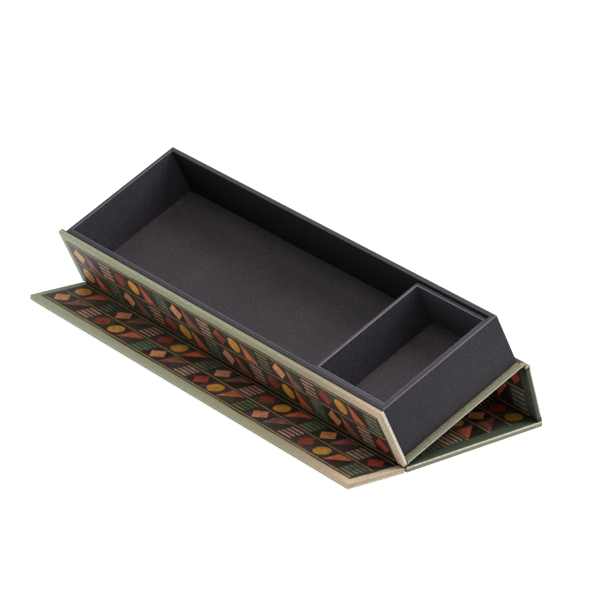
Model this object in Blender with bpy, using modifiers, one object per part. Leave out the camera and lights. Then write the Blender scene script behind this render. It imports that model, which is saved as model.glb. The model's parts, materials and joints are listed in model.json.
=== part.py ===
"""A long hinged pen case of paper-covered greyboard, folded back into its display stand.

A shallow tray with a small insert box is glued to the base of a five-panel wrap-around cover:
front panel, base, spine, lid and flap. Paper hinges join base and spine, spine and lid, lid and
flap. The cover is folded back under the base, so the lid and the flap lie flat with the printed
side up, and the tray leans on the spine.

Sizes are in millimetres and are turned into metres when a shape is built. Every panel has its own
coordinates: x along the case, u across the panel, v through it, with v = 0 on the printed face and
v = PANEL on the lining. Each frame (an empty) sits on a hinge, so turning it about X moves the
panel and all that follows it.
"""
import math
from collections import namedtuple

import bmesh
import bpy
from mathutils import Matrix, Vector

MM = 0.001

# Paper and board
PAPER = 0.15
GLUE = 0.1
PANEL_BOARD = 1.8
PANEL = PANEL_BOARD + 2 * (PAPER + GLUE)
TURN_IN = 3.0
LINING_GAP = 0.3
RIM_ROUND = 0.25

# The tray, measured from the outer front bottom corner of the cover
LENGTH = 220.0
TRAY_LENGTH = 216.5
TRAY_FRONT = PANEL + 0.3
TRAY_WIDTH = 59.2
TRAY_RIM = 26.7
TRAY_BOTTOM = PANEL + GLUE
TRAY_BOARD = 1.5
STAY_SPACE = 0.3
TRAY_WALL = 2 * PAPER + STAY_SPACE + TRAY_BOARD + GLUE
TRAY_FLOOR_BOARD = 1.8
TRAY_FLOOR_LOW = TRAY_BOTTOM + PAPER + 2 * GLUE
STAY_LEG = 8.0
STAY_PAPER = 0.1
STAY_BELOW_RIM = 3.0

# The small insert box at the right end of the tray
INSERT_LEFT = 61.2
INSERT_RIGHT = 105.0
INSERT_SIDE_GAP = 0.3
INSERT_RIM = 25.2
INSERT_BOARD = 1.0
INSERT_WALL = 2 * (PAPER + GLUE) + INSERT_BOARD
INSERT_ROUND = 0.4

# The cover's outer corners when the case is closed, and the play between it and the tray
FRONT_TOP = 27.6
SPINE_PLAY = 0.6
LID_PLAY = 0.4
FLAP_PLAY = 0.8
CLOSED_DEPTH = TRAY_FRONT + TRAY_WIDTH + SPINE_PLAY + PANEL
CLOSED_HEIGHT = FRONT_TOP + LID_PLAY + PANEL
CLOSED_LID = CLOSED_DEPTH + FLAP_PLAY + PANEL

# How far each panel's edges stay back from those corners, to leave room for the paper hinges
BASE_GAP = 2.6
HINGE_GAP = PANEL + 0.15
LID_BACK_GAP = 0.7
LID_FRONT_GAP = 1.65
BASE_SPAN = (TRAY_FRONT, CLOSED_DEPTH - BASE_GAP)
SPINE_SPAN = (HINGE_GAP, CLOSED_HEIGHT - HINGE_GAP)
LID_SPAN = (LID_BACK_GAP, CLOSED_LID - LID_FRONT_GAP)
FLAP_WIDTH = 26.4
FLAP_SPAN = (HINGE_GAP, HINGE_GAP + FLAP_WIDTH)

# The stand: how far each panel is turned from its neighbour, and where its edge lies there,
# in the neighbour's coordinates
TRAY_TILT = 23.9
SPINE_TURN = -99.4
LID_TURN = -104.5
FLAP_TURN = -3.0
CLOSED_TURN = 90.0
SPINE_EDGE = (63.1, -1.4)
LID_EDGE = (28.5, 2.15)
FLAP_EDGE = (LID_SPAN[1] + 0.95, 0.0)

# Closing magnets
MAGNET_RADIUS = 5.0
MAGNET_THICKNESS = 1.0
MAGNET_CLEARANCE = 0.15
MAGNET_X = 60.0
MAGNET_HEIGHT = 12.0
ROUND_SIDES = 32

# The paper hinges, and how far the one behind the lid stands out past the lid's edge
HINGE_PAPER = 0.25
HINGE_BULGE = 0.25 + HINGE_PAPER / 2

Frame = namedtuple("Frame", "empty pole")


def clear_scene():
    """Empties the scene, so the script gives the same model each time it is run."""
    for item in list(bpy.data.objects):
        bpy.data.objects.remove(item, do_unlink=True)


def collection(name):
    """Makes a collection in the scene and returns it."""
    group = bpy.data.collections.new(name)
    bpy.context.scene.collection.children.link(group)
    return group


def material(name, colour, roughness, metallic=0.0):
    """Makes a Principled material of one colour."""
    made = bpy.data.materials.new(name)
    made.use_nodes = True
    shader = made.node_tree.nodes["Principled BSDF"]
    shader.inputs["Base Color"].default_value = (*colour, 1.0)
    shader.inputs["Roughness"].default_value = roughness
    shader.inputs["Metallic"].default_value = metallic
    return made


def turning_point(standing, closed, turn):
    """The fixed point of the turn that carries a panel's edge from the stand to the closed case."""
    start = Vector(standing)
    move = Vector(closed) - start
    reach = 0.5 / math.tan(math.radians(turn) / 2)
    return start + move / 2 + reach * Vector((-move.y, move.x))


def hinge_frame(name, parent, standing, closed, turn):
    """An empty on the hinge that joins a panel to its parent, turned as in the stand.

    The panel's edge lies at standing in the stand and at closed in the closed case, both in its
    parent's coordinates, and the closed case's outer corner is level with it.
    """
    pole = turning_point(standing, closed, CLOSED_TURN - turn)
    empty = bpy.data.objects.new(name, None)
    bpy.context.scene.collection.objects.link(empty)
    empty.empty_display_size = 10 * MM
    empty.parent = parent.empty
    empty.location = Vector((0, pole.x - parent.pole.x, pole.y - parent.pole.y)) * MM
    empty.rotation_euler = (math.radians(turn), 0, 0)
    return Frame(empty, Vector((pole.y, closed[0] - pole.x)))


def in_world(frame, u, v):
    """The height and depth in the world of a place in a panel's coordinates."""
    bpy.context.view_layer.update()
    local = Vector((0, u - frame.pole.x, v - frame.pole.y)) * MM
    return frame.empty.matrix_world @ local


def new_object(name, mesh, frame, group):
    """Puts a mesh into the scene under its panel's frame."""
    item = bpy.data.objects.new(name, mesh)
    group.objects.link(item)
    item.parent = frame.empty
    return item


def to_local(frame, x, u, v):
    """A place in a panel's coordinates as the frame sees it, in metres."""
    return Vector((x, u - frame.pole.x, v - frame.pole.y)) * MM


def block(name, frame, group, x, u, v):
    """A box between the pairs x, u and v in a panel's coordinates."""
    low = to_local(frame, x[0], u[0], v[0])
    high = to_local(frame, x[1], u[1], v[1])
    size = high - low
    work = bmesh.new()
    bmesh.ops.create_cube(work, size=1.0)
    bmesh.ops.scale(work, vec=size, verts=work.verts)
    bmesh.ops.translate(work, vec=(low + high) / 2, verts=work.verts)
    mesh = bpy.data.meshes.new(name)
    work.to_mesh(mesh)
    work.free()
    return new_object(name, mesh, frame, group)


def disc(name, frame, group, x, u, v, radius):
    """A flat round piece through the panel, between the pair v."""
    low = to_local(frame, x, u, v[0])
    high = to_local(frame, x, u, v[1])
    work = bmesh.new()
    bmesh.ops.create_cone(
        work,
        cap_ends=True,
        segments=ROUND_SIDES,
        radius1=radius * MM,
        radius2=radius * MM,
        depth=high.z - low.z,
        matrix=Matrix.Translation((low + high) / 2),
    )
    mesh = bpy.data.meshes.new(name)
    work.to_mesh(mesh)
    work.free()
    mesh.shade_smooth()
    mesh.set_sharp_from_angle(angle=math.radians(40))
    return new_object(name, mesh, frame, group)


def cut(item, cutters):
    """Cuts each cutter from an object with a Boolean modifier."""
    for cutter in cutters:
        cutter.hide_render = True
        cutter.display_type = "WIRE"
        boolean = item.modifiers.new(cutter.name, "BOOLEAN")
        boolean.operation = "DIFFERENCE"
        boolean.object = cutter


def sheet(name, frame, group, loops, closed, thickness, offset):
    """A folded paper: neighbouring rows of points joined by faces, then given its thickness."""
    work = bmesh.new()
    rows = [[work.verts.new(to_local(frame, *point)) for point in loop] for loop in loops]
    for row, following in zip(rows, rows[1:]):
        count = len(row) if closed else len(row) - 1
        for i in range(count):
            j = (i + 1) % len(row)
            work.faces.new((row[i], row[j], following[j], following[i]))
    mesh = bpy.data.meshes.new(name)
    work.to_mesh(mesh)
    work.free()
    item = new_object(name, mesh, frame, group)
    solid = item.modifiers.new("paper", "SOLIDIFY")
    solid.thickness = thickness * MM
    solid.offset = offset
    solid.use_even_offset = True
    return item


def rounded_rectangle(x, u, v, radius, steps=3):
    """Points round a rectangle with quarter-circle corners, anticlockwise, at one height."""
    corners = (
        (x[1] - radius, u[0] + radius, -90),
        (x[1] - radius, u[1] - radius, 0),
        (x[0] + radius, u[1] - radius, 90),
        (x[0] + radius, u[0] + radius, 180),
    )
    points = []
    for centre_x, centre_u, start in corners:
        for step in range(steps + 1):
            angle = math.radians(start + 90 * step / steps)
            points.append((centre_x + radius * math.cos(angle), centre_u + radius * math.sin(angle), v))
    return points


def box_wrap(name, frame, group, x, u, rim, feet, wall, radius):
    """The paper over a box's walls: up the outside, over the rim and down the inside.

    feet are the heights where it starts outside and ends inside, and wall is the wall's thickness.
    """
    inner_x = (x[0] + wall, x[1] - wall)
    inner_u = (u[0] + wall, u[1] - wall)
    loops = [
        rounded_rectangle(x, u, feet[0], radius),
        rounded_rectangle(x, u, rim, radius),
        rounded_rectangle(inner_x, inner_u, rim, radius),
        rounded_rectangle(inner_x, inner_u, feet[1], radius),
    ]
    return sheet(name, frame, group, loops, True, PAPER, -1.0)


def panel(name, frame, parts, cutters, u, free_low=False, free_high=False):
    """A panel's greyboard and its printed paper, turned in at the ends and over any free edge."""
    half = LENGTH / 2
    inset = PAPER + GLUE
    board_x = (inset - half, half - inset)
    board_u = (u[0] + inset * free_low, u[1] - inset * free_high)
    board_v = (inset, PANEL - inset)
    board = block(f"{name}_board", frame, parts, board_x, board_u, board_v)

    # The paper is a block less the board's pocket and less a window inside the turned-in edges
    beyond = 1.0
    pocket_u = (u[0] + (PAPER if free_low else -beyond), u[1] - (PAPER if free_high else -beyond))
    pocket_x = (PAPER - half, half - PAPER)
    pocket = block(f"{name}_pocket", frame, cutters, pocket_x, pocket_u, (PAPER, PANEL - PAPER))
    window_u = (u[0] + (TURN_IN if free_low else -beyond), u[1] - (TURN_IN if free_high else -beyond))
    window_x = (TURN_IN - half, half - TURN_IN)
    window = block(f"{name}_window", frame, cutters, window_x, window_u, (PANEL / 2, PANEL + beyond))
    paper = block(f"{name}_printed_paper", frame, parts, (-half, half), u, (0, PANEL))
    cut(paper, (pocket, window))
    return board, paper


def lining(name, frame, parts, u, free_high=False):
    """The plain paper on a panel's inner face, inside the turned-in edges."""
    margin = TURN_IN + LINING_GAP
    half = LENGTH / 2 - margin
    lining_u = (u[0] + LINING_GAP, u[1] - (margin if free_high else LINING_GAP))
    return block(f"{name}_lining", frame, parts, (-half, half), lining_u, (PANEL - PAPER, PANEL))


def magnets(name, frame, parts, cutters, board, u):
    """Two flat disc magnets let into a panel's board from its inner face."""
    made = []
    back = PANEL - PAPER - GLUE
    front = back - MAGNET_THICKNESS - MAGNET_CLEARANCE
    for side, x in (("left", -MAGNET_X), ("right", MAGNET_X)):
        pocket = disc(
            f"{name}_magnet_pocket_{side}",
            frame,
            cutters,
            x,
            u,
            (front - MAGNET_CLEARANCE, PANEL),
            MAGNET_RADIUS + MAGNET_CLEARANCE,
        )
        cut(board, (pocket,))
        made.append(disc(f"{name}_magnet_{side}", frame, parts, x, u, (front, back), MAGNET_RADIUS))
    return made


def tray_boards(frame, parts):
    """The tray's floor and its four walls."""
    half = TRAY_LENGTH / 2
    out = PAPER + STAY_SPACE
    front = TRAY_FRONT + out
    back = TRAY_FRONT + TRAY_WIDTH - out
    v = (TRAY_BOTTOM + PAPER + GLUE, TRAY_RIM - PAPER - GLUE)
    long_x = (out - half, half - out)
    short_u = (front + TRAY_BOARD + GLUE, back - TRAY_BOARD - GLUE)
    left = out - half
    floor_x = (left + TRAY_BOARD + GLUE, -left - TRAY_BOARD - GLUE)
    floor_v = (TRAY_FLOOR_LOW, TRAY_FLOOR_LOW + TRAY_FLOOR_BOARD)
    return [
        block("tray_floor_board", frame, parts, floor_x, short_u, floor_v),
        block("tray_front_wall", frame, parts, long_x, (front, front + TRAY_BOARD), v),
        block("tray_back_wall", frame, parts, long_x, (back - TRAY_BOARD, back), v),
        block("tray_left_wall", frame, parts, (left, left + TRAY_BOARD), short_u, v),
        block("tray_right_wall", frame, parts, (-left - TRAY_BOARD, -left), short_u, v),
    ]


def corner_stays(frame, parts):
    """Paper stays folded round the tray's four upright corners, under the wrap."""
    made = []
    middle = TRAY_FRONT + TRAY_WIDTH / 2
    out = PAPER + GLUE
    reach_x = TRAY_LENGTH / 2 - out
    reach_u = TRAY_WIDTH / 2 - out
    v = (TRAY_BOTTOM + PAPER + GLUE, TRAY_RIM - STAY_BELOW_RIM)
    for name, side_x, side_u in (
        ("front_left", -1, -1),
        ("front_right", 1, -1),
        ("back_right", 1, 1),
        ("back_left", -1, 1),
    ):
        corner = (side_x * reach_x, middle + side_u * reach_u)
        outline = [
            (corner[0] - side_x * STAY_LEG, corner[1]),
            corner,
            (corner[0], corner[1] - side_u * STAY_LEG),
        ]
        if side_x != side_u:
            outline.reverse()
        loops = [[(x, u, height) for x, u in outline] for height in v]
        made.append(sheet(f"tray_corner_stay_{name}", frame, parts, loops, False, STAY_PAPER, 1.0))
    return made


def tray_papers(frame, parts):
    """The tray's wrap and the liner on its floor."""
    x = (-TRAY_LENGTH / 2, TRAY_LENGTH / 2)
    u = (TRAY_FRONT, TRAY_FRONT + TRAY_WIDTH)
    liner_low = TRAY_FLOOR_LOW + TRAY_FLOOR_BOARD + GLUE
    liner_v = (liner_low, liner_low + PAPER)
    feet = (TRAY_BOTTOM, liner_v[1] + GLUE)
    edge = TRAY_WALL - PAPER
    liner_x = (x[0] + edge, x[1] - edge)
    liner_u = (u[0] + edge, u[1] - edge)
    return [
        box_wrap("tray_wrap", frame, parts, x, u, TRAY_RIM, feet, TRAY_WALL, RIM_ROUND),
        block("tray_floor_liner", frame, parts, liner_x, liner_u, liner_v),
    ]


def insert_box(frame, parts):
    """The small open box at the right end: its floor, four walls, wrap and liner."""
    tray_floor = TRAY_FLOOR_LOW + TRAY_FLOOR_BOARD + GLUE + PAPER
    bottom = tray_floor + GLUE
    inset = PAPER + GLUE
    inner = TRAY_WALL + INSERT_SIDE_GAP
    x = (INSERT_LEFT, INSERT_RIGHT)
    u = (TRAY_FRONT + inner, TRAY_FRONT + TRAY_WIDTH - inner)
    wall_v = (bottom, INSERT_RIM - inset)
    board_x = (x[0] + inset, x[1] - inset)
    board_u = (u[0] + inset, u[1] - inset)
    short_u = (board_u[0] + INSERT_BOARD + GLUE, board_u[1] - INSERT_BOARD - GLUE)
    floor_x = (board_x[0] + INSERT_BOARD + GLUE, board_x[1] - INSERT_BOARD - GLUE)
    floor_v = (bottom, bottom + INSERT_BOARD)
    liner_low = floor_v[1] + GLUE
    liner_v = (liner_low, liner_low + PAPER)
    feet = (bottom, liner_v[1] + GLUE)
    edge = INSERT_WALL - PAPER
    liner_x = (x[0] + edge, x[1] - edge)
    liner_u = (u[0] + edge, u[1] - edge)
    boards = [
        block("insert_floor_board", frame, parts, floor_x, short_u, floor_v),
        block("insert_front_wall", frame, parts, board_x, (board_u[0], board_u[0] + INSERT_BOARD), wall_v),
        block("insert_back_wall", frame, parts, board_x, (board_u[1] - INSERT_BOARD, board_u[1]), wall_v),
        block("insert_divider_wall", frame, parts, (board_x[0], board_x[0] + INSERT_BOARD), short_u, wall_v),
        block("insert_end_wall", frame, parts, (board_x[1] - INSERT_BOARD, board_x[1]), short_u, wall_v),
    ]
    papers = [
        box_wrap("insert_wrap", frame, parts, x, u, INSERT_RIM, feet, INSERT_WALL, INSERT_ROUND),
        block("insert_floor_liner", frame, parts, liner_x, liner_u, liner_v),
    ]
    return boards, papers


def hinge_paper(name, frame, parts, points, thickness=HINGE_PAPER):
    """A strip of paper along the whole case that joins two panels, folded through the points."""
    half = LENGTH / 2
    loops = [[(-half, u, v), (half, u, v)] for u, v in points]
    return sheet(name, frame, parts, loops, False, thickness, 0.0)


def paint(items, look):
    """Gives objects their material."""
    for item in items:
        item.data.materials.append(look)


def settle(tray, lid, flap):
    """Stands the lid's lining on the ground and centres the case's outline on the origin."""
    ground = in_world(lid, LID_SPAN[0] - HINGE_BULGE, PANEL)
    tip = in_world(flap, FLAP_SPAN[1], PANEL)
    tray.empty.location = (0, -(ground.y + tip.y) / 2, -ground.z)


clear_scene()
parts = collection("pen_case")
cutters = collection("cutters")

printed = material("printed_paper", (0.16, 0.17, 0.11), 0.55)
charcoal = material("charcoal_paper", (0.045, 0.04, 0.048), 0.85)
greyboard = material("greyboard", (0.42, 0.39, 0.34), 0.9)
brown_stay = material("stay_paper", (0.45, 0.33, 0.2), 0.9)
magnet_metal = material("magnet", (0.6, 0.6, 0.62), 0.3, 1.0)

# Frames from the tray outwards: each hinge is found from its two end positions
tray_empty = bpy.data.objects.new("tray_frame", None)
bpy.context.scene.collection.objects.link(tray_empty)
tray_empty.rotation_euler = (math.radians(TRAY_TILT), 0, 0)
tray = Frame(tray_empty, Vector((0, 0)))
spine = hinge_frame("spine_hinge", tray, SPINE_EDGE, (CLOSED_DEPTH, SPINE_SPAN[0]), SPINE_TURN)
lid = hinge_frame("lid_hinge", spine, LID_EDGE, (CLOSED_HEIGHT, LID_SPAN[0]), LID_TURN)
flap = hinge_frame("flap_hinge", lid, FLAP_EDGE, (CLOSED_LID, FLAP_SPAN[0]), FLAP_TURN)
settle(tray, lid, flap)

# The cover's panels. The front panel stands on the tray's frame, turned a quarter up from the base.
front_empty = bpy.data.objects.new("front_frame", None)
bpy.context.scene.collection.objects.link(front_empty)
front_empty.parent = tray_empty
front_empty.rotation_euler = (math.radians(-CLOSED_TURN), 0, 0)
front = Frame(front_empty, Vector((0, 0)))

base_panel = panel("base", tray, parts, cutters, BASE_SPAN)
front_panel = panel("front", front, parts, cutters, (-FRONT_TOP, -PAPER - GLUE), free_low=True)
spine_panel = panel("spine", spine, parts, cutters, SPINE_SPAN)
lid_panel = panel("lid", lid, parts, cutters, LID_SPAN)
flap_panel = panel("flap", flap, parts, cutters, FLAP_SPAN, free_high=True)
panels = (base_panel, front_panel, spine_panel, lid_panel, flap_panel)

linings = [
    lining("spine", spine, parts, SPINE_SPAN),
    lining("lid", lid, parts, LID_SPAN),
    lining("flap", flap, parts, FLAP_SPAN, free_high=True),
]

flap_magnet_u = CLOSED_HEIGHT - MAGNET_HEIGHT
closing_magnets = magnets("front", front, parts, cutters, front_panel[0], -MAGNET_HEIGHT)
closing_magnets += magnets("flap", flap, parts, cutters, flap_panel[0], flap_magnet_u)

# Paper hinges, as they lie in the stand
case_x = (-LENGTH / 2, LENGTH / 2)
corner_paper = block("front_corner_paper", tray, parts, case_x, (0, TRAY_FRONT - GLUE), (0, PAPER))
base_hinge = hinge_paper(
    "base_spine_hinge_paper",
    tray,
    parts,
    [(BASE_SPAN[1] + 0.15, 1.9), (CLOSED_DEPTH - 0.8, 1.0), (CLOSED_DEPTH - 0.2, -1.2)],
)
hinge_fold = LID_SPAN[0] - HINGE_BULGE + HINGE_PAPER / 2
lid_hinge = hinge_paper(
    "spine_lid_hinge_paper",
    lid,
    parts,
    [(LID_SPAN[0] + 0.5, -0.25), (hinge_fold, -0.2), (hinge_fold, PANEL - 0.9)],
)
flap_hinge = hinge_paper(
    "lid_flap_hinge_paper",
    lid,
    parts,
    [(LID_SPAN[1] + 0.2, 0.2), (LID_SPAN[1] + 0.45, 1.5), (FLAP_EDGE[0] - 0.2, 0.2)],
    PAPER,
)

tray_walls = tray_boards(tray, parts)
stays = corner_stays(tray, parts)
tray_skins = tray_papers(tray, parts)
insert_boards, insert_skins = insert_box(tray, parts)

paint([board for board, paper in panels] + tray_walls + insert_boards, greyboard)
paint([paper for board, paper in panels], printed)
paint([corner_paper, base_hinge, lid_hinge, flap_hinge], printed)
paint(linings + tray_skins + insert_skins, charcoal)
paint(stays, brown_stay)
paint(closing_magnets, magnet_metal)
bpy.context.view_layer.update()
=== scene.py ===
"""The looks of a long pen case of paper-covered board, folded back into its display stand.

Five printed panels make the wrap-around cover: front, base, spine, lid and flap. A charcoal tray
stands on the base, and a small insert box stands in the tray. The places and sizes of panels, tray
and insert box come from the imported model's nodes. The paper's small roundings, the print's pattern,
the camera and the light have their own values below. Each panel has its own coordinates: x along
the case, w across the panel from its front fold, and v from its printed face into the board.
"""

import json
import math
from collections import namedtuple

import bmesh
import bpy
from mathutils import Matrix, Vector


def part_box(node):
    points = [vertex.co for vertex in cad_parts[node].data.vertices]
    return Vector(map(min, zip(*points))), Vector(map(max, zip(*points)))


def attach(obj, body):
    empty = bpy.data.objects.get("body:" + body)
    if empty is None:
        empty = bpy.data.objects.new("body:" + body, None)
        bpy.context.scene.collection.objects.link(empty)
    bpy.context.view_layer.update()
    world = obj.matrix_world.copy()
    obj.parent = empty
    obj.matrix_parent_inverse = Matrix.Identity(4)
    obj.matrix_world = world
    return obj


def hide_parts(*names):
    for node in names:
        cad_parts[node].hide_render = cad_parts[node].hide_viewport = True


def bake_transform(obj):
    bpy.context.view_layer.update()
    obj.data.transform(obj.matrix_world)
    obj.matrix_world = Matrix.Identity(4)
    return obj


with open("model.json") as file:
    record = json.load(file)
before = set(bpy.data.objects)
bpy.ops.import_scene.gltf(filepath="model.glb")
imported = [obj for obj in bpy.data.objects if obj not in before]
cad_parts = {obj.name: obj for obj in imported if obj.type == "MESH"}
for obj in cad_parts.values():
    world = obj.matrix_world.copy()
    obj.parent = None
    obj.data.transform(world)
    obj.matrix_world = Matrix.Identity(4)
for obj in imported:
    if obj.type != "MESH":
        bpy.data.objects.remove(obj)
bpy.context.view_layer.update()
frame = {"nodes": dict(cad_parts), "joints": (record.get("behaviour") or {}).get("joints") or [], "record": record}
nodes = frame["nodes"]

MM = 0.001

# Paper, and the small roundings it gives the edges it is folded over
PAPER = 0.15 * MM
TURN_IN = 3.0 * MM
GLUE_GAP = 0.05 * MM
COVER_ROUND = 0.45 * MM
RIM_ROUND = 0.55 * MM
INSERT_RIM_ROUND = 0.4 * MM
INNER_ROUND = 0.35 * MM
CORNER_ROUND = 0.45 * MM
INSERT_CORNER_ROUND = 0.9 * MM
FOLD_ROUND = 0.5 * MM
FOLD_PROUD = 0.03 * MM
FOLD_OVERLAP = 0.3 * MM
HINGE_WAIST = 0.3 * MM
HINGE_WRAP = 0.1 * MM
LINING_PROUD = 0.02 * MM
LINING_ROUND = 0.05 * MM
LEAST_CORNER = 0.12 * MM
SMOOTH_ANGLE = math.radians(35)
PAPER_GRAIN = 0.45 * MM

# Print: how wide the plain border is, and how far each ink layer stands up and sinks in
BORDER = 3.3 * MM
LAYER = 0.012 * MM
INK_DEPTH = 0.03 * MM

# Pattern: a patchwork of square cells, about this large and this far from the panel's edges, with
# a rule between the rows. The other values are parts of a cell.
CELL = 10 * MM
PRINT_MARGIN = 1.2 * MM
RULE = 0.35 * MM
FIELD_PART = 0.9
MOTIF_PART = 0.8
DISC_RADIUS = 0.36
DIAMOND_RADIUS = 0.42
DISC_SIDES = 40
STRIPES = 4

# Camera: where it is, where it looks, and its lens in millimetres
CAMERA_PLACE = (1.1768, -0.8283, 0.6681)
CAMERA_FORWARD = (-0.7435, 0.5306, -0.4070)
CAMERA_UP = (-0.3214, 0.2503, 0.9133)
CAMERA_LENS = 239.3
CAMERA_SENSOR = 36.0
CAMERA_REACH = 20

# Light: place, size in metres and power in watts of each soft light, and what the floor adds
SOFT_LIGHTS = {
    "key_light": ((0.35, 0.65, 1.15), 0.9, 18),
    "top_light": ((0.1, -0.3, 1.3), 0.5, 3),
}
WORLD_STRENGTH = 0.34
FLOOR_WHITE = 250
FLOOR_GLOW = 0.95
FLOOR_SIZE = 3.0
FLOOR_DROP = 0.2 * MM


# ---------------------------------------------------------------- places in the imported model


def joint_place(name):
    """Where a joint's axis crosses the middle of the case."""
    return Vector(next(joint["pos_m"] for joint in frame["joints"] if joint["name"] == name))


def middle(node):
    """The middle of a node's box."""
    low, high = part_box(node)
    return (low + high) / 2


def block_directions(node):
    """The directions along a board's width and through its thickness, from its largest face."""
    largest = max(nodes[node].data.polygons, key=lambda face: face.area)
    through = Vector((0, *largest.normal.yz)).normalized()
    return Vector((1, 0, 0)).cross(through), through


def facing(direction, hint):
    """The direction, or its opposite where that goes the hint's way."""
    return direction if direction.dot(hint) > 0 else -direction


class Panel:
    """A body's own directions and origin: x along the case, w across, v from print to lining."""

    def __init__(self, body, across, through):
        self.body = body
        self.across = across
        self.through = through
        self.origin = Vector((0, 0, 0))

    def set_origin(self, node):
        """Moves the origin to a node's printed face, and to its edge at the front fold."""
        low, _ = self.extent(node)
        self.origin = self.across * low.y + self.through * low.z

    def local(self, place):
        """A place of the world in the panel's coordinates."""
        offset = place - self.origin
        return Vector((offset.x, offset.dot(self.across), offset.dot(self.through)))

    def world(self, x, w, v):
        """A place in the panel's coordinates as a place of the world."""
        return Vector((x, 0, 0)) + self.origin + self.across * w + self.through * v

    def extent(self, node):
        """The lowest and highest corner of a node in the panel's coordinates."""
        places = [self.local(v.co) for v in nodes[node].data.vertices]
        low = Vector([min(place[axis] for place in places) for axis in range(3)])
        high = Vector([max(place[axis] for place in places) for axis in range(3)])
        return low, high


def make_panels():
    """The panels by name, from the plain blocks that ride on the same bodies."""
    base_hinge = joint_place("base_to_spine_hinge")
    lid_hinge = joint_place("spine_to_lid_hinge")
    flap_hinge = joint_place("lid_to_flap_hinge")
    made = {}

    wide, thick = block_directions("tray_floor_board")
    back = facing(wide, base_hinge - middle("front_board"))
    up = facing(thick, middle("tray_wrap") - middle("base_board"))
    made["base"] = Panel("tray", back, up)
    made["front"] = Panel("tray", up, back)

    wide, thick = block_directions("spine_board")
    down = facing(wide, lid_hinge - base_hinge)
    inward = facing(thick, middle("spine_lining") - middle("spine_board"))
    made["spine"] = Panel("spine", down, inward)

    wide, thick = block_directions("lid_board")
    back = facing(wide, lid_hinge - flap_hinge)
    inward = facing(thick, middle("lid_lining") - middle("lid_board"))
    made["lid"] = Panel("lid", back, inward)

    wide, thick = block_directions("flap_board")
    out = facing(wide, middle("flap_board") - flap_hinge)
    inward = facing(thick, middle("flap_lining") - middle("flap_board"))
    made["flap"] = Panel("flap", out, inward)

    for name, panel in made.items():
        panel.set_origin(f"{name}_printed_paper")
    # The base and the front panel share their corner: each starts at the other's printed face
    corner = Vector((0, *made["front"].world(0, 0, 0).yz))
    shift = made["base"].local(corner).y
    made["base"].origin += made["base"].across * shift
    made["front"].origin = made["base"].origin.copy()
    return made


panels = make_panels()
tray = panels["base"]
_, case_high = tray.extent("base_printed_paper")
HALF = case_high.x
THICKNESS = case_high.z


# ---------------------------------------------------------------- materials


def ink(red, green, blue):
    """A colour given in screen values from 0 to 255, as the renderer's linear colour."""

    def linear(value):
        value /= 255
        return value / 12.92 if value <= 0.04045 else ((value + 0.055) / 1.055) ** 2.4

    return (linear(red), linear(green), linear(blue), 1.0)


def shade(colour, factor):
    """A colour made lighter or darker."""
    return tuple(min(1.0, channel * factor) for channel in colour[:3]) + (1.0,)


WHITE = (1.0, 1.0, 1.0, 1.0)
# Pale grey of the charcoal paper's rims: partly rubbed wear, partly a painted highlight
RIM_WEAR_AND_HIGHLIGHT = ink(150, 144, 156)


class Look:
    """A node-based material under construction."""

    def __init__(self, name):
        self.material = bpy.data.materials.new(name)
        self.material.use_nodes = True
        self.tree = self.material.node_tree
        self.shader = self.tree.nodes["Principled BSDF"]
        self.place = self.node("ShaderNodeTexCoord").outputs["Object"]

    def node(self, kind, inputs=None, **settings):
        """Adds a node, with sockets or values for its inputs."""
        made = self.tree.nodes.new(kind)
        for key, value in settings.items():
            setattr(made, key, value)
        for key, value in (inputs or {}).items():
            if isinstance(value, bpy.types.NodeSocket):
                self.tree.links.new(value, made.inputs[key])
            else:
                made.inputs[key].default_value = value
        return made

    def set(self, **inputs):
        """Sets or links the shader's inputs, given with underscores for spaces."""
        for key, value in inputs.items():
            socket = self.shader.inputs[key.replace("_", " ")]
            if isinstance(value, bpy.types.NodeSocket):
                self.tree.links.new(value, socket)
            else:
                socket.default_value = value

    def noise(self, size, detail=2.0, roughness=0.5, stretch=(1, 1, 1), place=None):
        """Noise from 0 to 1 with features of about this size in metres."""
        mapping = self.node("ShaderNodeMapping", {"Vector": place or self.place, "Scale": stretch})
        inputs = {
            "Vector": mapping.outputs[0],
            "Scale": 1 / size,
            "Detail": detail,
            "Roughness": roughness,
        }
        return self.node("ShaderNodeTexNoise", inputs).outputs["Fac"]

    def ramp(self, value, *stops):
        """A value mapped through stops of (position, colour)."""
        made = self.node("ShaderNodeValToRGB", {"Fac": value})
        elements = made.color_ramp.elements
        while len(elements) < len(stops):
            elements.new(0.5)
        for element, (position, colour) in zip(elements, stops):
            element.position = position
            element.color = colour
        return made.outputs["Color"]

    def mask(self, value, low, high):
        """0 below low, 1 above high, and in between a smooth step."""
        inputs = {"Value": value, "From Min": low, "From Max": high}
        made = self.node("ShaderNodeMapRange", inputs, interpolation_type="SMOOTHSTEP")
        return made.outputs[0]

    def math(self, operation, a, b=0.0, c=0.0):
        """One arithmetic step."""
        return self.node("ShaderNodeMath", {0: a, 1: b, 2: c}, operation=operation).outputs[0]

    def mix(self, factor, a, b, blend="MIX"):
        """Two colours mixed."""
        made = self.node(
            "ShaderNodeMix", {0: factor, 6: a, 7: b}, data_type="RGBA", blend_type=blend
        )
        return made.outputs[2]

    def towards(self, direction):
        """How much the surface faces a direction, from -1 to 1."""
        inputs = {0: self.place.node.outputs["Normal"], 1: direction}
        return self.node("ShaderNodeVectorMath", inputs, operation="DOT_PRODUCT").outputs["Value"]

    def bump(self, height, strength, distance):
        """A surface normal from a height."""
        inputs = {"Height": height, "Strength": strength, "Distance": distance}
        return self.node("ShaderNodeBump", inputs).outputs[0]


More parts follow.
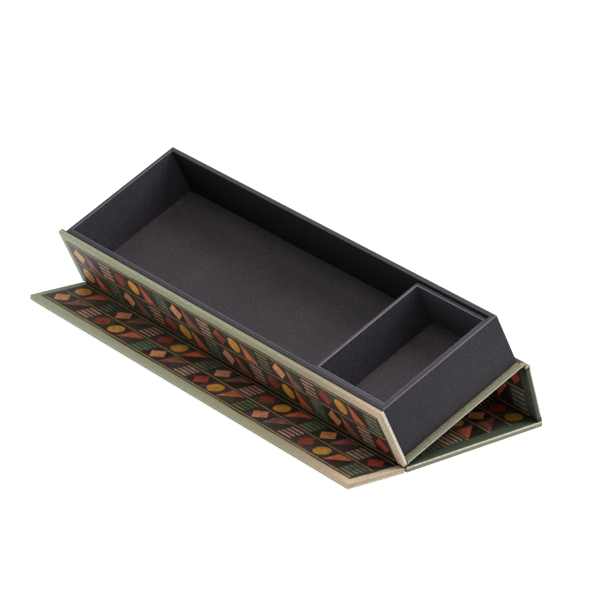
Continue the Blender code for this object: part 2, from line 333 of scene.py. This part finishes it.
def grain(look, colour, amount, size):
    """A colour broken up by fine light and dark specks."""
    speck = look.noise(size, detail=3.0, roughness=0.6)
    dark, light = 1 - amount, 1 + amount
    specks = look.ramp(speck, (0.3, (dark, dark, dark, 1.0)), (0.7, (light, light, light, 1.0)))
    return look.mix(1.0, colour, specks, "MULTIPLY")


def charcoal_paper(name, colour, wear_and_highlight=0.0, outside=None):
    """Matt uncoated dark paper with a fine grain.

    Wear and highlight is how much paler the paper is on the folded rims, partly rubbed wear and
    partly a painted highlight; the flat tops get a little of it as a painted highlight. Beyond
    outside, a distance along the case, the paper is darker as painted shade, and the side that
    faces the front panel gets a near-black painted shadow.
    """
    look = Look(name)
    cloud = look.noise(22 * MM, detail=3.0)
    base = look.ramp(cloud, (0.3, shade(colour, 0.88)), (0.7, shade(colour, 1.12)))
    base = grain(look, base, 0.5, 0.6 * MM)
    if wear_and_highlight:
        # Folded rims turn pale, partly wear and partly painted highlight; flat tops facing up get a painted
        # highlight
        level = look.towards(tray.through)
        folded = look.math("MULTIPLY", look.mask(level, 0.2, 0.5), look.mask(level, 0.999, 0.93))
        flat_highlight = look.math("MULTIPLY", look.mask(level, 0.8, 1.0), 0.12 * wear_and_highlight)
        base = look.mix(flat_highlight, base, RIM_WEAR_AND_HIGHLIGHT)
        base = look.mix(look.math("MULTIPLY", folded, wear_and_highlight), base, RIM_WEAR_AND_HIGHLIGHT)
    # Painted shade: the end walls beyond outside are darkened, and the sides facing the front panel, such as the
    # back inner wall, get a near-black painted shadow
    if outside:
        x = look.node("ShaderNodeSeparateXYZ", {0: look.place}).outputs[0]
        beyond = look.mask(look.math("ABSOLUTE", x), outside - 0.3 * MM, outside)
        base = look.mix(look.math("MULTIPLY", beyond, 0.42), base, ink(10, 9, 11))
        base = look.mix(look.mask(look.towards(-tray.across), 0.25, 0.6), base, ink(10, 9, 10))
    fibre = look.noise(PAPER_GRAIN, detail=4.0, roughness=0.7)
    look.set(
        Base_Color=base,
        Roughness=look.ramp(fibre, (0.3, shade(WHITE, 0.68)), (0.7, shade(WHITE, 0.8))),
        Normal=look.bump(fibre, 0.5, 0.07 * MM),
        Specular_IOR_Level=0.35,
    )
    return look.material


def greyboard():
    """Grey recycled board with flecks and pressed fibres."""
    look = Look("greyboard_fibre")
    fleck = look.noise(0.7 * MM, detail=4.0, roughness=0.7)
    base = look.ramp(
        fleck,
        (0.3, ink(128, 122, 112)),
        (0.55, ink(168, 162, 150)),
        (0.8, ink(186, 178, 162)),
    )
    fibre = look.noise(0.3 * MM, detail=4.0, stretch=(0.3, 1, 1))
    look.set(Base_Color=base, Roughness=0.9, Normal=look.bump(fibre, 0.5, 0.1 * MM))
    return look.material


def kraft():
    """Brown kraft paper of the corner stays."""
    look = Look("kraft_stay_paper")
    fibre = look.noise(0.8 * MM, detail=4.0, stretch=(1, 1, 0.3))
    base = look.ramp(fibre, (0.3, ink(150, 118, 80)), (0.7, ink(188, 152, 108)))
    look.set(Base_Color=base, Roughness=0.85, Normal=look.bump(fibre, 0.4, 0.05 * MM))
    return look.material


def nickel():
    """Nickel plating of the closing magnets."""
    look = Look("magnet_nickel")
    scuff = look.noise(1.5 * MM, detail=5.0)
    base = look.ramp(scuff, (0.3, ink(176, 174, 168)), (0.7, ink(206, 204, 198)))
    rough = look.ramp(scuff, (0.3, (0.22, 0.22, 0.22, 1)), (0.7, (0.38, 0.38, 0.38, 1)))
    look.set(Base_Color=base, Metallic=1.0, Roughness=rough)
    return look.material


def border_colour(look, along):
    """The plain border's colour: sage green at the left end, turning to beige at the right."""
    return look.ramp(
        along,
        (0.0, ink(164, 168, 138)),
        (0.55, ink(156, 158, 127)),
        (0.8, ink(166, 155, 126)),
        (1.0, ink(204, 180, 152)),
    )


def edge_colour(look, depth, dull):
    """The ends of the boards: pale at depth 0, partly rubbed print and partly a painted highlight, dull at depth
    1.
    """
    speck = look.noise(0.55 * MM, detail=3.0, roughness=0.65)
    pale = look.ramp(
        speck,
        (0.36, ink(172, 162, 140)),
        (0.5, ink(210, 202, 184)),
        (0.62, ink(236, 230, 216)),
    )
    rest = look.ramp(speck, (0.34, shade(dull, 0.55)), (0.66, shade(dull, 1.45)))
    return look.mix(depth, pale, rest)


# Colours of the turned-in edges, dark and light: olive print, and a near-black painted shadow for the front
# panel's turn-in against the tray; and a place for the highlight side that no board reaches
TURN_IN_OLIVE = (ink(84, 84, 62), ink(150, 146, 112))
TURN_IN_SHADOW = (ink(12, 11, 10), ink(16, 15, 14))
NO_HIGHLIGHT_SIDE = 5


def printed_paper(
    name,
    width,
    free_edge=False,
    border=0.0,
    highlight_side=0.0,
    dull=ink(122, 118, 96),
    green=0.0,
    shaded_sides=False,
    turn_in=TURN_IN_OLIVE,
):
    """Printed paper: a plain speckled border, where there is one, round a dark clouded ground.

    The border runs along both ends of the panel, and along its far edge if that is free. Green is
    how much green the ground has. The ends of the board are pale at the highlight side, given as a
    part of its thickness, partly rubbed print and partly a painted highlight, and dull elsewhere.
    Shaded sides are dark along both long edges.
    """
    look = Look(name)
    panel_place = look.node("ShaderNodeAttribute", attribute_name="panel_place").outputs["Vector"]
    parts = look.node("ShaderNodeSeparateXYZ", {0: panel_place})
    x, w, v = parts.outputs
    along = look.math("MULTIPLY_ADD", x, 0.5 / HALF, 0.5)

    # How far in from the nearest edge that has a border, with a slight waver
    wobble = look.noise(16 * MM, detail=3.0, place=panel_place)
    swell = look.math("MULTIPLY", look.math("SUBTRACT", wobble, 0.5), 1.2 * MM)
    outward = look.math("SUBTRACT", HALF, look.math("ABSOLUTE", x))
    inward = outward
    if free_edge:
        inward = look.math("MINIMUM", outward, look.math("SUBTRACT", width, w))
    depth = look.math("ADD", inward, swell)

    cloud = look.noise(20 * MM, detail=2.0, place=panel_place, stretch=(0.6, 1.4, 1))
    ground = look.ramp(
        cloud,
        (0.34, ink(30, 24, 18)),
        (0.46, ink(46, 40, 36)),
        (0.56, ink(56, 60, 46)),
        (0.68, ink(80, 92, 68)),
    )
    brush = look.noise(1.6 * MM, detail=3.0, place=panel_place, stretch=(0.25, 2.2, 1))
    ground = look.mix(look.mask(brush, 0.45, 0.75), ground, ink(62, 68, 58))
    ground = look.mix(green, ground, ink(74, 88, 66))
    colour = ground
    if border:
        inside = look.mask(depth, border - 0.15 * MM, border + 0.15 * MM)
        colour = look.mix(inside, border_colour(look, along), ground)
    colour = grain(look, colour, 0.3, 0.5 * MM)

    # Turned-in paper takes the turn_in colours: olive print, or on the front panel a near-black painted shadow
    turned = look.mask(v, 0.6 * THICKNESS, 0.9 * THICKNESS)
    speck = look.noise(0.6 * MM, detail=3.0, roughness=0.65)
    colour = look.mix(turned, colour, look.ramp(speck, (0.34, turn_in[0]), (0.66, turn_in[1])))
    # A pale band at the highlight side of the board's ends: partly rubbed print, partly a painted highlight
    far = look.math("ABSOLUTE", look.math("SUBTRACT", v, highlight_side * THICKNESS))
    pale = edge_colour(look, look.mask(far, 0.12 * THICKNESS, 0.42 * THICKNESS), dull)
    end = look.mask(outward, 0.3 * MM, 0.12 * MM)
    colour = look.mix(end, colour, pale)
    if shaded_sides:
        side = look.math("MINIMUM", w, look.math("SUBTRACT", width, w))
        colour = look.mix(look.mask(side, 2.4 * MM, 0.4 * MM), colour, ink(26, 23, 17))
    weave = look.noise(PAPER_GRAIN, detail=3.0, roughness=0.6)
    look.set(Base_Color=colour, Roughness=0.55, Normal=look.bump(weave, 0.3, 0.05 * MM))
    return look.material


def printed_ink(name, dark, light, size=0.9 * MM, metallic=0.0, roughness=0.5, mottle=0.62):
    """A printed colour that changes a little over the shape, with a fine speckle."""
    look = Look(name)
    cloud = look.noise(3.6 * MM, detail=4.0, roughness=0.6)
    base = look.ramp(cloud, (0.26, shade(dark, mottle)), (0.42, dark), (0.72, light))
    base = grain(look, base, 0.24, size)
    weave = look.noise(PAPER_GRAIN, detail=3.0, roughness=0.6)
    look.set(Base_Color=base, Roughness=roughness, Metallic=metallic)
    look.set(Normal=look.bump(weave, 0.3, 0.05 * MM))
    return look.material


# ---------------------------------------------------------------- building pieces


def finish_piece(name, work, panel, material):
    """Turns mesh work in a panel's coordinates into a smooth-shaded object of the scene."""
    for vertex in work.verts:
        vertex.co = panel.world(*vertex.co)
    work.normal_update()
    bmesh.ops.recalc_face_normals(work, faces=work.faces)
    mesh = bpy.data.meshes.new(name)
    work.to_mesh(mesh)
    work.free()
    mesh.materials.append(material)
    item = bpy.data.objects.new(name, mesh)
    bpy.context.scene.collection.objects.link(item)
    mesh.shade_smooth()
    mesh.set_sharp_from_angle(angle=SMOOTH_ANGLE)
    return item


def note_places(item, panel):
    """Writes each vertex's place in its panel's coordinates, which the print follows."""
    mesh = item.data
    attribute = mesh.attributes.new("panel_place", "FLOAT_VECTOR", "POINT")
    for i, vertex in enumerate(mesh.vertices):
        attribute.data[i].vector = panel.local(vertex.co)


def add_block(work, low, high):
    """Adds a box between two corners and returns its vertices."""
    made = bmesh.ops.create_cube(work, size=1.0)["verts"]
    bmesh.ops.scale(work, vec=high - low, verts=made)
    bmesh.ops.translate(work, vec=(low + high) / 2, verts=made)
    return made


def rounded_block(low, high, radius, segments=3):
    """Mesh work for a box with all its edges rounded."""
    work = bmesh.new()
    add_block(work, low, high)
    bmesh.ops.bevel(
        work,
        geom=work.edges[:],
        offset=radius,
        segments=segments,
        profile=0.5,
        affect="EDGES",
        clamp_overlap=True,
    )
    return work


def carve(item, boxes, panel):
    """Cuts boxes, given by corners in the panel's coordinates, out of a piece."""
    for low, high in boxes:
        work = bmesh.new()
        add_block(work, low, high)
        cutter = finish_piece("cutter", work, panel, item.data.materials[0])
        boolean = item.modifiers.new("cut", "BOOLEAN")
        boolean.operation = "DIFFERENCE"
        boolean.solver = "EXACT"
        boolean.object = cutter
        evaluated = item.evaluated_get(bpy.context.evaluated_depsgraph_get())
        carved = bpy.data.meshes.new_from_object(evaluated)
        item.modifiers.clear()
        item.data = carved
        bpy.data.objects.remove(cutter)
    item.data.shade_smooth()
    item.data.set_sharp_from_angle(angle=SMOOTH_ANGLE)


def ring(x, w, v, inset, radius, steps=4):
    """Points round a rectangle, drawn in by inset, with rounded corners."""
    radius = max(radius - inset, LEAST_CORNER)
    x0, x1 = x[0] + inset, x[1] - inset
    w0, w1 = w[0] + inset, w[1] - inset
    corners = (
        (x1 - radius, w0 + radius, -90),
        (x1 - radius, w1 - radius, 0),
        (x0 + radius, w1 - radius, 90),
        (x0 + radius, w0 + radius, 180),
    )
    points = []
    for centre_x, centre_w, start in corners:
        for step in range(steps + 1):
            angle = math.radians(start + 90 * step / steps)
            point_x = centre_x + radius * math.cos(angle)
            point_w = centre_w + radius * math.sin(angle)
            points.append((point_x, point_w, v))
    return points


def join_rings(work, rings):
    """Faces between neighbouring rings of points, and between the last ring and the first."""
    rows = [[work.verts.new(point) for point in points] for points in rings]
    for row, following in zip(rows, rows[1:] + rows[:1]):
        for i in range(len(row)):
            j = (i + 1) % len(row)
            work.faces.new((row[i], row[j], following[j], following[i]))


def arc(centre, radius, start, end, steps=4):
    """Points (depth, height) on an arc, in degrees."""
    points = []
    for step in range(steps + 1):
        angle = math.radians(start + (end - start) * step / steps)
        points.append((centre[0] + radius * math.cos(angle), centre[1] + radius * math.sin(angle)))
    return points


def wall_wrap(name, node, wall, floor, corner, outer_round, inner_round, material):
    """The paper over a box's walls, as a closed skin: outside, rounded rim, inside, and back."""
    low, high = tray.extent(node)
    x, w = (low.x, high.x), (low.y, high.y)
    rim = high.z
    skin = PAPER
    outside = [(0.0, low.z)] + arc((outer_round, rim - outer_round), outer_round, 180, 90)
    inside = arc((wall - inner_round, rim - inner_round), inner_round, 90, 0) + [(wall, floor)]
    back = [(wall - skin, floor)]
    back += arc((wall - inner_round, rim - inner_round), inner_round - skin, 0, 90)
    back += arc((outer_round, rim - outer_round), outer_round - skin, 90, 180) + [(skin, low.z)]
    profile = outside + inside + back
    work = bmesh.new()
    join_rings(work, [ring(x, w, height, depth, corner) for depth, height in profile])
    item = finish_piece(name, work, tray, material)
    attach(item, tray.body)
    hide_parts(node)


def cover(name, hinge_low, hinge_high, material):
    """A panel's printed paper, wrapped round the board and turned in at its ends and free edge."""
    panel = panels[name]
    low, high = panel.extent(f"{name}_printed_paper")
    board_low, board_high = panel.extent(f"{name}_board")
    outer_low = low - Vector((0, HINGE_WRAP * hinge_low, 0))
    outer_high = high + Vector((0, HINGE_WRAP * hinge_high, 0))
    work = rounded_block(outer_low, outer_high, COVER_ROUND)
    item = finish_piece(f"{name}_cover", work, panel, material)
    gap = Vector((GLUE_GAP, GLUE_GAP, GLUE_GAP))
    pocket = (board_low - gap, board_high + gap)
    # At a hinge the window ends inside the paper; at a free edge it leaves the turned-in strip
    window_start = outer_low.y + HINGE_WRAP / 2 if hinge_low else low.y + TURN_IN
    window_end = outer_high.y - HINGE_WRAP / 2 if hinge_high else high.y - TURN_IN
    window_low = Vector((low.x + TURN_IN, window_start, THICKNESS / 2))
    window_high = Vector((high.x - TURN_IN, window_end, high.z + TURN_IN))
    carve(item, [(window_low, window_high), pocket], panel)
    note_places(item, panel)
    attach(item, panel.body)
    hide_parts(f"{name}_printed_paper")


def lining(name, material):
    """A panel's lining paper, which laps a little over the turned-in edges."""
    panel = panels[name]
    low, high = panel.extent(f"{name}_lining")
    lap = Vector((2 * FOLD_OVERLAP, FOLD_OVERLAP, 0))
    work = rounded_block(low - lap, high + lap + Vector((0, 0, LINING_PROUD)), LINING_ROUND)
    item = finish_piece(f"{name}_lining_paper", work, panel, material)
    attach(item, panel.body)
    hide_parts(f"{name}_lining")


def ribbon(points, thickness=PAPER):
    """The outline of a sheet of paper whose middle follows places (w, v)."""
    places = [Vector(point) for point in points]
    upper, lower = [], []
    for i, place in enumerate(places):
        ahead = places[min(i + 1, len(places) - 1)] - places[max(i - 1, 0)]
        side = ahead.orthogonal().normalized() * thickness / 2
        upper.append(place + side)
        lower.append(place - side)
    return upper + lower[::-1]


def long_strip(name, node, outline, panel, half, materials, lined=()):
    """A strip along the case with this outline (w, v). Its lined sides get the second material."""
    work = bmesh.new()
    left, right = [[work.verts.new((x, *place)) for place in outline] for x in (-half, half)]
    for i in range(len(outline)):
        j = (i + 1) % len(outline)
        face = work.faces.new((left[i], left[j], right[j], right[i]))
        face.material_index = int(i in lined)
    work.faces.new(left)
    work.faces.new(right)
    item = finish_piece(name, work, panel, materials[0])
    for material in materials[1:]:
        item.data.materials.append(material)
    note_places(item, panel)
    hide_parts(node)
    return item


def between(a, b, steps):
    """Evenly spaced places from a up to, but without, b."""
    return [a.lerp(b, step / steps) for step in range(steps)]


def bend_hinge(item, panel, near, far):
    """Bakes a strip's place into its mesh. It works out where a bend would start and end, from near edges to far
    edges given as (w, v), but nothing uses these places.
    """
    middle_near = sum(near, Vector((0, 0))) / len(near)
    middle_far = sum(far, Vector((0, 0))) / len(far)
    along = (middle_far - middle_near).normalized()
    start = middle_near + along * max((place - middle_near).dot(along) for place in near)
    end = middle_near + along * min((place - middle_near).dot(along) for place in far)
    panel.world(0, *start)
    panel.world(0, *end)
    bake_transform(item)


# ---------------------------------------------------------------- the printed pattern
#
# A plain patchwork: each panel is a grid of square cells, and the cells hold a disc, a triangle,
# stripes or a diamond in turn.

Shape = namedtuple("Shape", "colour layer points")


def regular(centre, radius, sides, colour, layer):
    """A regular polygon, which is a disc when it has many sides."""
    points = []
    for i in range(sides):
        angle = 2 * math.pi * i / sides
        points.append(centre + radius * Vector((math.cos(angle), math.sin(angle))))
    return Shape(colour, layer, points)


def block(centre, size, colour, layer):
    """A rectangle given by its middle and its size along x and w."""
    half = size / 2
    corners = ((-1, -1), (1, -1), (1, 1), (-1, 1))
    return Shape(colour, layer, [centre + Vector((i * half.x, j * half.y)) for i, j in corners])


def disc_cell(centre, size, colour):
    """A disc."""
    return [regular(centre, DISC_RADIUS * min(size), DISC_SIDES, colour, 2)]


def diamond_cell(centre, size, colour):
    """A square on its corner."""
    return [regular(centre, DIAMOND_RADIUS * min(size), 4, colour, 2)]


def triangle_cell(centre, size, colour):
    """The lower half of a square, cut from corner to corner."""
    half = MOTIF_PART / 2 * size
    corners = ((-1, -1), (1, -1), (-1, 1))
    return [Shape(colour, 2, [centre + Vector((i * half.x, j * half.y)) for i, j in corners])]


def stripes_cell(centre, size, colour):
    """Even stripes along the case."""
    pitch = MOTIF_PART * size.y / STRIPES
    stripe = Vector((MOTIF_PART * size.x, pitch / 2))
    places = [(i - (STRIPES - 1) / 2) * pitch for i in range(STRIPES)]
    return [block(centre + Vector((0, place)), stripe, colour, 2) for place in places]


CELLS = (
    (disc_cell, "gold"),
    (triangle_cell, "coral"),
    (stripes_cell, "leaf"),
    (diamond_cell, "amber"),
    (triangle_cell, "rose"),
    (stripes_cell, "dust"),
    (diamond_cell, "brick"),
)
FIELDS = ("plum", "teal", "umber")


def patchwork(name, free_edge=False):
    """A panel's pattern: its cells on fields of quiet colours, and fine rules between the rows."""
    low, high = panels[name].extent(f"{name}_printed_paper")
    start = low.y + PRINT_MARGIN
    end = high.y - PRINT_MARGIN - (BORDER if free_edge else 0)
    reach = HALF - BORDER - PRINT_MARGIN
    rows = round((end - start) / CELL)
    columns = round(2 * reach / CELL)
    pitch = Vector((2 * reach / columns, (end - start) / rows))
    shapes = []
    for row in range(rows):
        for column in range(columns):
            offset = Vector(((column + 0.5) * pitch.x, (row + 0.5) * pitch.y))
            centre = Vector((-reach, start)) + offset
            fill, colour = CELLS[(column + 3 * row) % len(CELLS)]
            field = FIELDS[(column + row) % len(FIELDS)]
            shapes.append(block(centre, FIELD_PART * pitch, field, 1))
            shapes += fill(centre, pitch, colour)
    for row in range(rows + 1):
        centre = Vector((0, start + row * pitch.y))
        shapes.append(block(centre, Vector((2 * reach, RULE)), "thread", 2))
    return shapes


def stamp(name, shapes, inks):
    """Prints shapes on a panel, one thin piece for each colour."""
    panel = panels[name]
    for colour in sorted({shape.colour for shape in shapes}):
        work = bmesh.new()
        for shape in shapes:
            if shape.colour != colour:
                continue
            lower = [work.verts.new((*point, INK_DEPTH)) for point in shape.points]
            upper = [work.verts.new((*point, -shape.layer * LAYER)) for point in shape.points]
            work.faces.new(lower)
            work.faces.new(upper)
            for i in range(len(lower)):
                j = (i + 1) % len(lower)
                work.faces.new((lower[i], lower[j], upper[j], upper[i]))
        item = finish_piece(f"{name}_print_{colour}", work, panel, inks[colour])
        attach(item, panel.body)


# ---------------------------------------------------------------- the case

INK_COLOURS = {
    "umber": (ink(38, 32, 24), ink(54, 44, 30), {}),
    "plum": (ink(58, 48, 52), ink(80, 68, 70), {}),
    "teal": (ink(44, 60, 52), ink(66, 82, 68), {}),
    "leaf": (ink(96, 112, 84), ink(136, 148, 114), {}),
    "rose": (ink(140, 86, 76), ink(182, 120, 102), {}),
    "brick": (ink(150, 60, 46), ink(184, 84, 62), {}),
    "coral": (ink(196, 94, 62), ink(230, 136, 96), {}),
    "dust": (ink(184, 140, 120), ink(218, 176, 148), {}),
    "amber": (ink(222, 144, 98), ink(242, 174, 128), {}),
    "gold": (ink(216, 150, 58), ink(242, 186, 92), {"metallic": 0.1, "roughness": 0.42}),
    "thread": (ink(206, 160, 94), ink(222, 178, 112), {"size": 2 * MM, "mottle": 1.0}),
}
INKS = {}
for colour, (dark, light, settings) in INK_COLOURS.items():
    INKS[colour] = printed_ink(f"ink_{colour}", dark, light, **settings)

tray_low, tray_high = tray.extent("tray_wrap")
CHARCOAL = ink(60, 56, 63)
# Tray and insert paper: rims pale with wear and painted highlight; the tray's paper also has painted shade on its
# end walls and painted shadow on the sides facing the front panel
tray_paper = charcoal_paper("charcoal_tray_paper", CHARCOAL, wear_and_highlight=0.5, outside=tray_high.x)
insert_paper = charcoal_paper("charcoal_insert_paper", CHARCOAL, wear_and_highlight=0.95)
floor_paper = charcoal_paper("charcoal_floor_paper", ink(67, 61, 65))
lining_paper = charcoal_paper("charcoal_lining_paper", ink(64, 60, 66))
board = greyboard()
stay_paper = kraft()
plating = nickel()

BEIGE = ink(176, 154, 128)

# What sets the print of each panel apart
PANEL_PRINTS = {
    "front": {
        "free_edge": True,
        "border": BORDER,
        "highlight_side": 0.7,
        "dull": BEIGE,
        # near-black painted shadow where the front panel's turn-in meets the tray
        "turn_in": TURN_IN_SHADOW,
    },
    "base": {},
    "spine": {"highlight_side": 1.0, "dull": ink(64, 60, 46), "shaded_sides": True},
    "lid": {"green": 0.75},
    "flap": {"free_edge": True, "border": BORDER, "highlight_side": 1.0, "dull": BEIGE},
}
prints = {}
for name, settings in PANEL_PRINTS.items():
    low, high = panels[name].extent(f"{name}_printed_paper")
    prints[name] = printed_paper(f"printed_{name}", high.y, **settings)
    cover(name, True, not settings.get("free_edge"), prints[name])
hinge_print = printed_paper("printed_hinge", HALF, dull=BEIGE, highlight_side=NO_HIGHLIGHT_SIDE)


def front_corner():
    """The print's paper where it runs round from the base to the front panel."""
    base_start = tray.extent("base_printed_paper")[0].y + FOLD_OVERLAP
    front_start = panels["front"].extent("front_printed_paper")[0].y + FOLD_OVERLAP
    skin = PAPER / 2 - FOLD_PROUD
    middle = skin + FOLD_ROUND
    bend = arc((middle, middle), FOLD_ROUND, 270, 180, 6)
    outline = ribbon([(base_start, skin)] + bend + [(skin, front_start)])
    item = long_strip("front_corner_fold", "front_corner_paper", outline, tray, HALF, [hinge_print])
    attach(item, tray.body)


def back_hinge():
    """The paper hinge between base and spine: narrow at its axis, printed outside, lined inside."""
    spine = panels["spine"]
    end = tray.extent("base_printed_paper")[1].y
    inside, beyond, proud = FOLD_OVERLAP, HINGE_WRAP + FOLD_PROUD, FOLD_PROUD
    faces = (-proud, THICKNESS + proud)
    near = [Vector((end + beyond, v)) for v in faces]
    near_inside = [Vector((end - inside, v)) for v in faces]
    far = [tray.local(spine.world(0, -beyond, v)).yz for v in faces]
    far_inside = [tray.local(spine.world(0, inside, v)).yz for v in faces]
    axis = tray.local(joint_place("base_to_spine_hinge")).yz
    aside = (far[0] + far[1] - near[0] - near[1]).orthogonal().normalized()
    aside *= math.copysign(HINGE_WAIST / 2, aside.dot(far[1] - far[0]))
    steps = 3
    lined_side = [near_inside[1], *between(near[1], axis + aside, steps)]
    lined_side += [*between(axis + aside, far[1], steps), far[1], far_inside[1]]
    print_side = [far_inside[0], *between(far[0], axis - aside, steps)]
    print_side += [*between(axis - aside, near[0], steps), near[0], near_inside[0]]
    lined = range(len(lined_side) - 1)
    outline = lined_side + print_side
    half = HALF + FOLD_PROUD
    papers = [hinge_print, lining_paper]
    item = long_strip(
        "base_spine_hinge_fold", "base_spine_hinge_paper", outline, tray, half, papers, lined
    )
    bend_hinge(item, tray, near, far)


def lid_hinge():
    """The paper hinge between spine and lid, which lies inside the lid's end when closed."""
    lid, spine = panels["lid"], panels["spine"]
    spine_end = spine.extent("spine_printed_paper")[1].y
    start = lid.local(spine.world(0, spine_end - PAPER, THICKNESS - PAPER)).yz
    end = Vector((lid.extent("lid_printed_paper")[1].y - PAPER, PAPER))
    outline = ribbon([start, start.lerp(end, 0.5), end])
    half = HALF - FOLD_OVERLAP
    item = long_strip(
        "spine_lid_hinge_fold", "spine_lid_hinge_paper", outline, lid, half, [hinge_print]
    )
    bend_hinge(item, lid, [start], [end])


def flap_hinge():
    """The paper hinge between lid and flap, sunk between the two boards."""
    lid, flap = panels["lid"], panels["flap"]
    start = Vector((FOLD_OVERLAP, PAPER / 2 + FOLD_PROUD))
    end = lid.local(flap.world(0, FOLD_OVERLAP, PAPER / 2 + FOLD_PROUD)).yz
    dip = Vector((0, FOLD_ROUND))
    steps = 6
    places = []
    for step in range(steps + 1):
        part = step / steps
        places.append(start.lerp(end, part) + dip * math.sin(math.pi * part) ** 2)
    outline = ribbon(places)
    item = long_strip(
        "lid_flap_hinge_fold", "lid_flap_hinge_paper", outline, lid, HALF, [hinge_print]
    )
    bend_hinge(item, lid, [start], [end])


for name in ("spine", "lid", "flap"):
    lining(name, lining_paper)
front_corner()
back_hinge()
lid_hinge()
flap_hinge()

liner_low, liner_high = tray.extent("tray_floor_liner")
wall_wrap(
    "tray_paper",
    "tray_wrap",
    wall=liner_low.x - tray_low.x + PAPER,
    floor=liner_high.z,
    corner=CORNER_ROUND,
    outer_round=RIM_ROUND,
    inner_round=INNER_ROUND,
    material=tray_paper,
)

insert_low, _ = tray.extent("insert_wrap")
insert_liner_low, insert_liner_high = tray.extent("insert_floor_liner")
wall_wrap(
    "insert_paper",
    "insert_wrap",
    wall=insert_liner_low.x - insert_low.x + PAPER,
    floor=insert_liner_high.z,
    corner=INSERT_CORNER_ROUND,
    outer_round=INSERT_RIM_ROUND,
    inner_round=INNER_ROUND,
    material=insert_paper,
)

for name, settings in PANEL_PRINTS.items():
    stamp(name, patchwork(name, settings.get("free_edge", False)), INKS)

NODE_LOOKS = {
    "greyboard": board,
    "stay_paper": stay_paper,
    "magnet": plating,
    "charcoal_paper": lining_paper,
}
for row in frame["record"]["subparts"]:
    node = nodes[row["node"]]
    look = NODE_LOOKS.get(row["material_slot"])
    if look and not node.hide_render:
        for slot in node.material_slots:
            slot.material = look
for name in ("tray_floor_liner", "insert_floor_liner"):
    nodes[name].material_slots[0].material = floor_paper


# ---------------------------------------------------------------- camera, light and floor


def plain(name, colour, roughness, glow):
    """A plain studio surface, which glows a little so that it stays white in the shade."""
    look = Look(name)
    cloud = look.noise(0.4)
    tint = look.ramp(cloud, (0.3, colour), (0.7, shade(colour, 1.01)))
    look.set(Base_Color=shade(colour, 0.3), Roughness=roughness)
    look.set(Emission_Color=tint, Emission_Strength=glow)
    return look.material


def soft_light(name, place, size, power):
    """A square soft light at a place, turned to the case."""
    data = bpy.data.lights.new(name, "AREA")
    data.shape = "SQUARE"
    data.size = size
    data.energy = power
    item = bpy.data.objects.new(name, data)
    item.location = place
    item.rotation_euler = (-Vector(place)).to_track_quat("-Z", "Y").to_euler()
    bpy.context.scene.collection.objects.link(item)


def camera():
    """The camera: a long lens from the right, the front and above."""
    forward = Vector(CAMERA_FORWARD).normalized()
    right = forward.cross(Vector(CAMERA_UP)).normalized()
    up = right.cross(forward)
    data = bpy.data.cameras.new("camera")
    data.sensor_width = CAMERA_SENSOR
    data.lens = CAMERA_LENS
    data.clip_end = CAMERA_REACH
    item = bpy.data.objects.new("camera", data)
    turn = Matrix((right, up, -forward)).transposed().to_4x4()
    item.matrix_world = Matrix.Translation(CAMERA_PLACE) @ turn
    bpy.context.scene.collection.objects.link(item)
    bpy.context.scene.camera = item


def floor():
    """A pale floor that is part of the studio, just under the case."""
    white = ink(FLOOR_WHITE, FLOOR_WHITE, FLOOR_WHITE)
    work = bmesh.new()
    bmesh.ops.create_grid(work, x_segments=1, y_segments=1, size=FLOOR_SIZE)
    mesh = bpy.data.meshes.new("studio_floor")
    work.to_mesh(mesh)
    work.free()
    mesh.materials.append(plain("studio_white", white, 0.8, glow=FLOOR_GLOW))
    item = bpy.data.objects.new("studio_floor", mesh)
    item.location.z = -FLOOR_DROP
    bpy.context.scene.collection.objects.link(item)


def studio():
    """Even surrounding light and soft lights: one behind and above, a weaker one overhead."""
    world = bpy.data.worlds.new("studio_world")
    world.use_nodes = True
    background = world.node_tree.nodes["Background"]
    background.inputs["Color"].default_value = WHITE
    background.inputs["Strength"].default_value = WORLD_STRENGTH
    bpy.context.scene.world = world
    for name, (place, size, power) in SOFT_LIGHTS.items():
        soft_light(name, place, size, power)
    bpy.context.scene.view_settings.view_transform = "Standard"


camera()
floor()
studio()
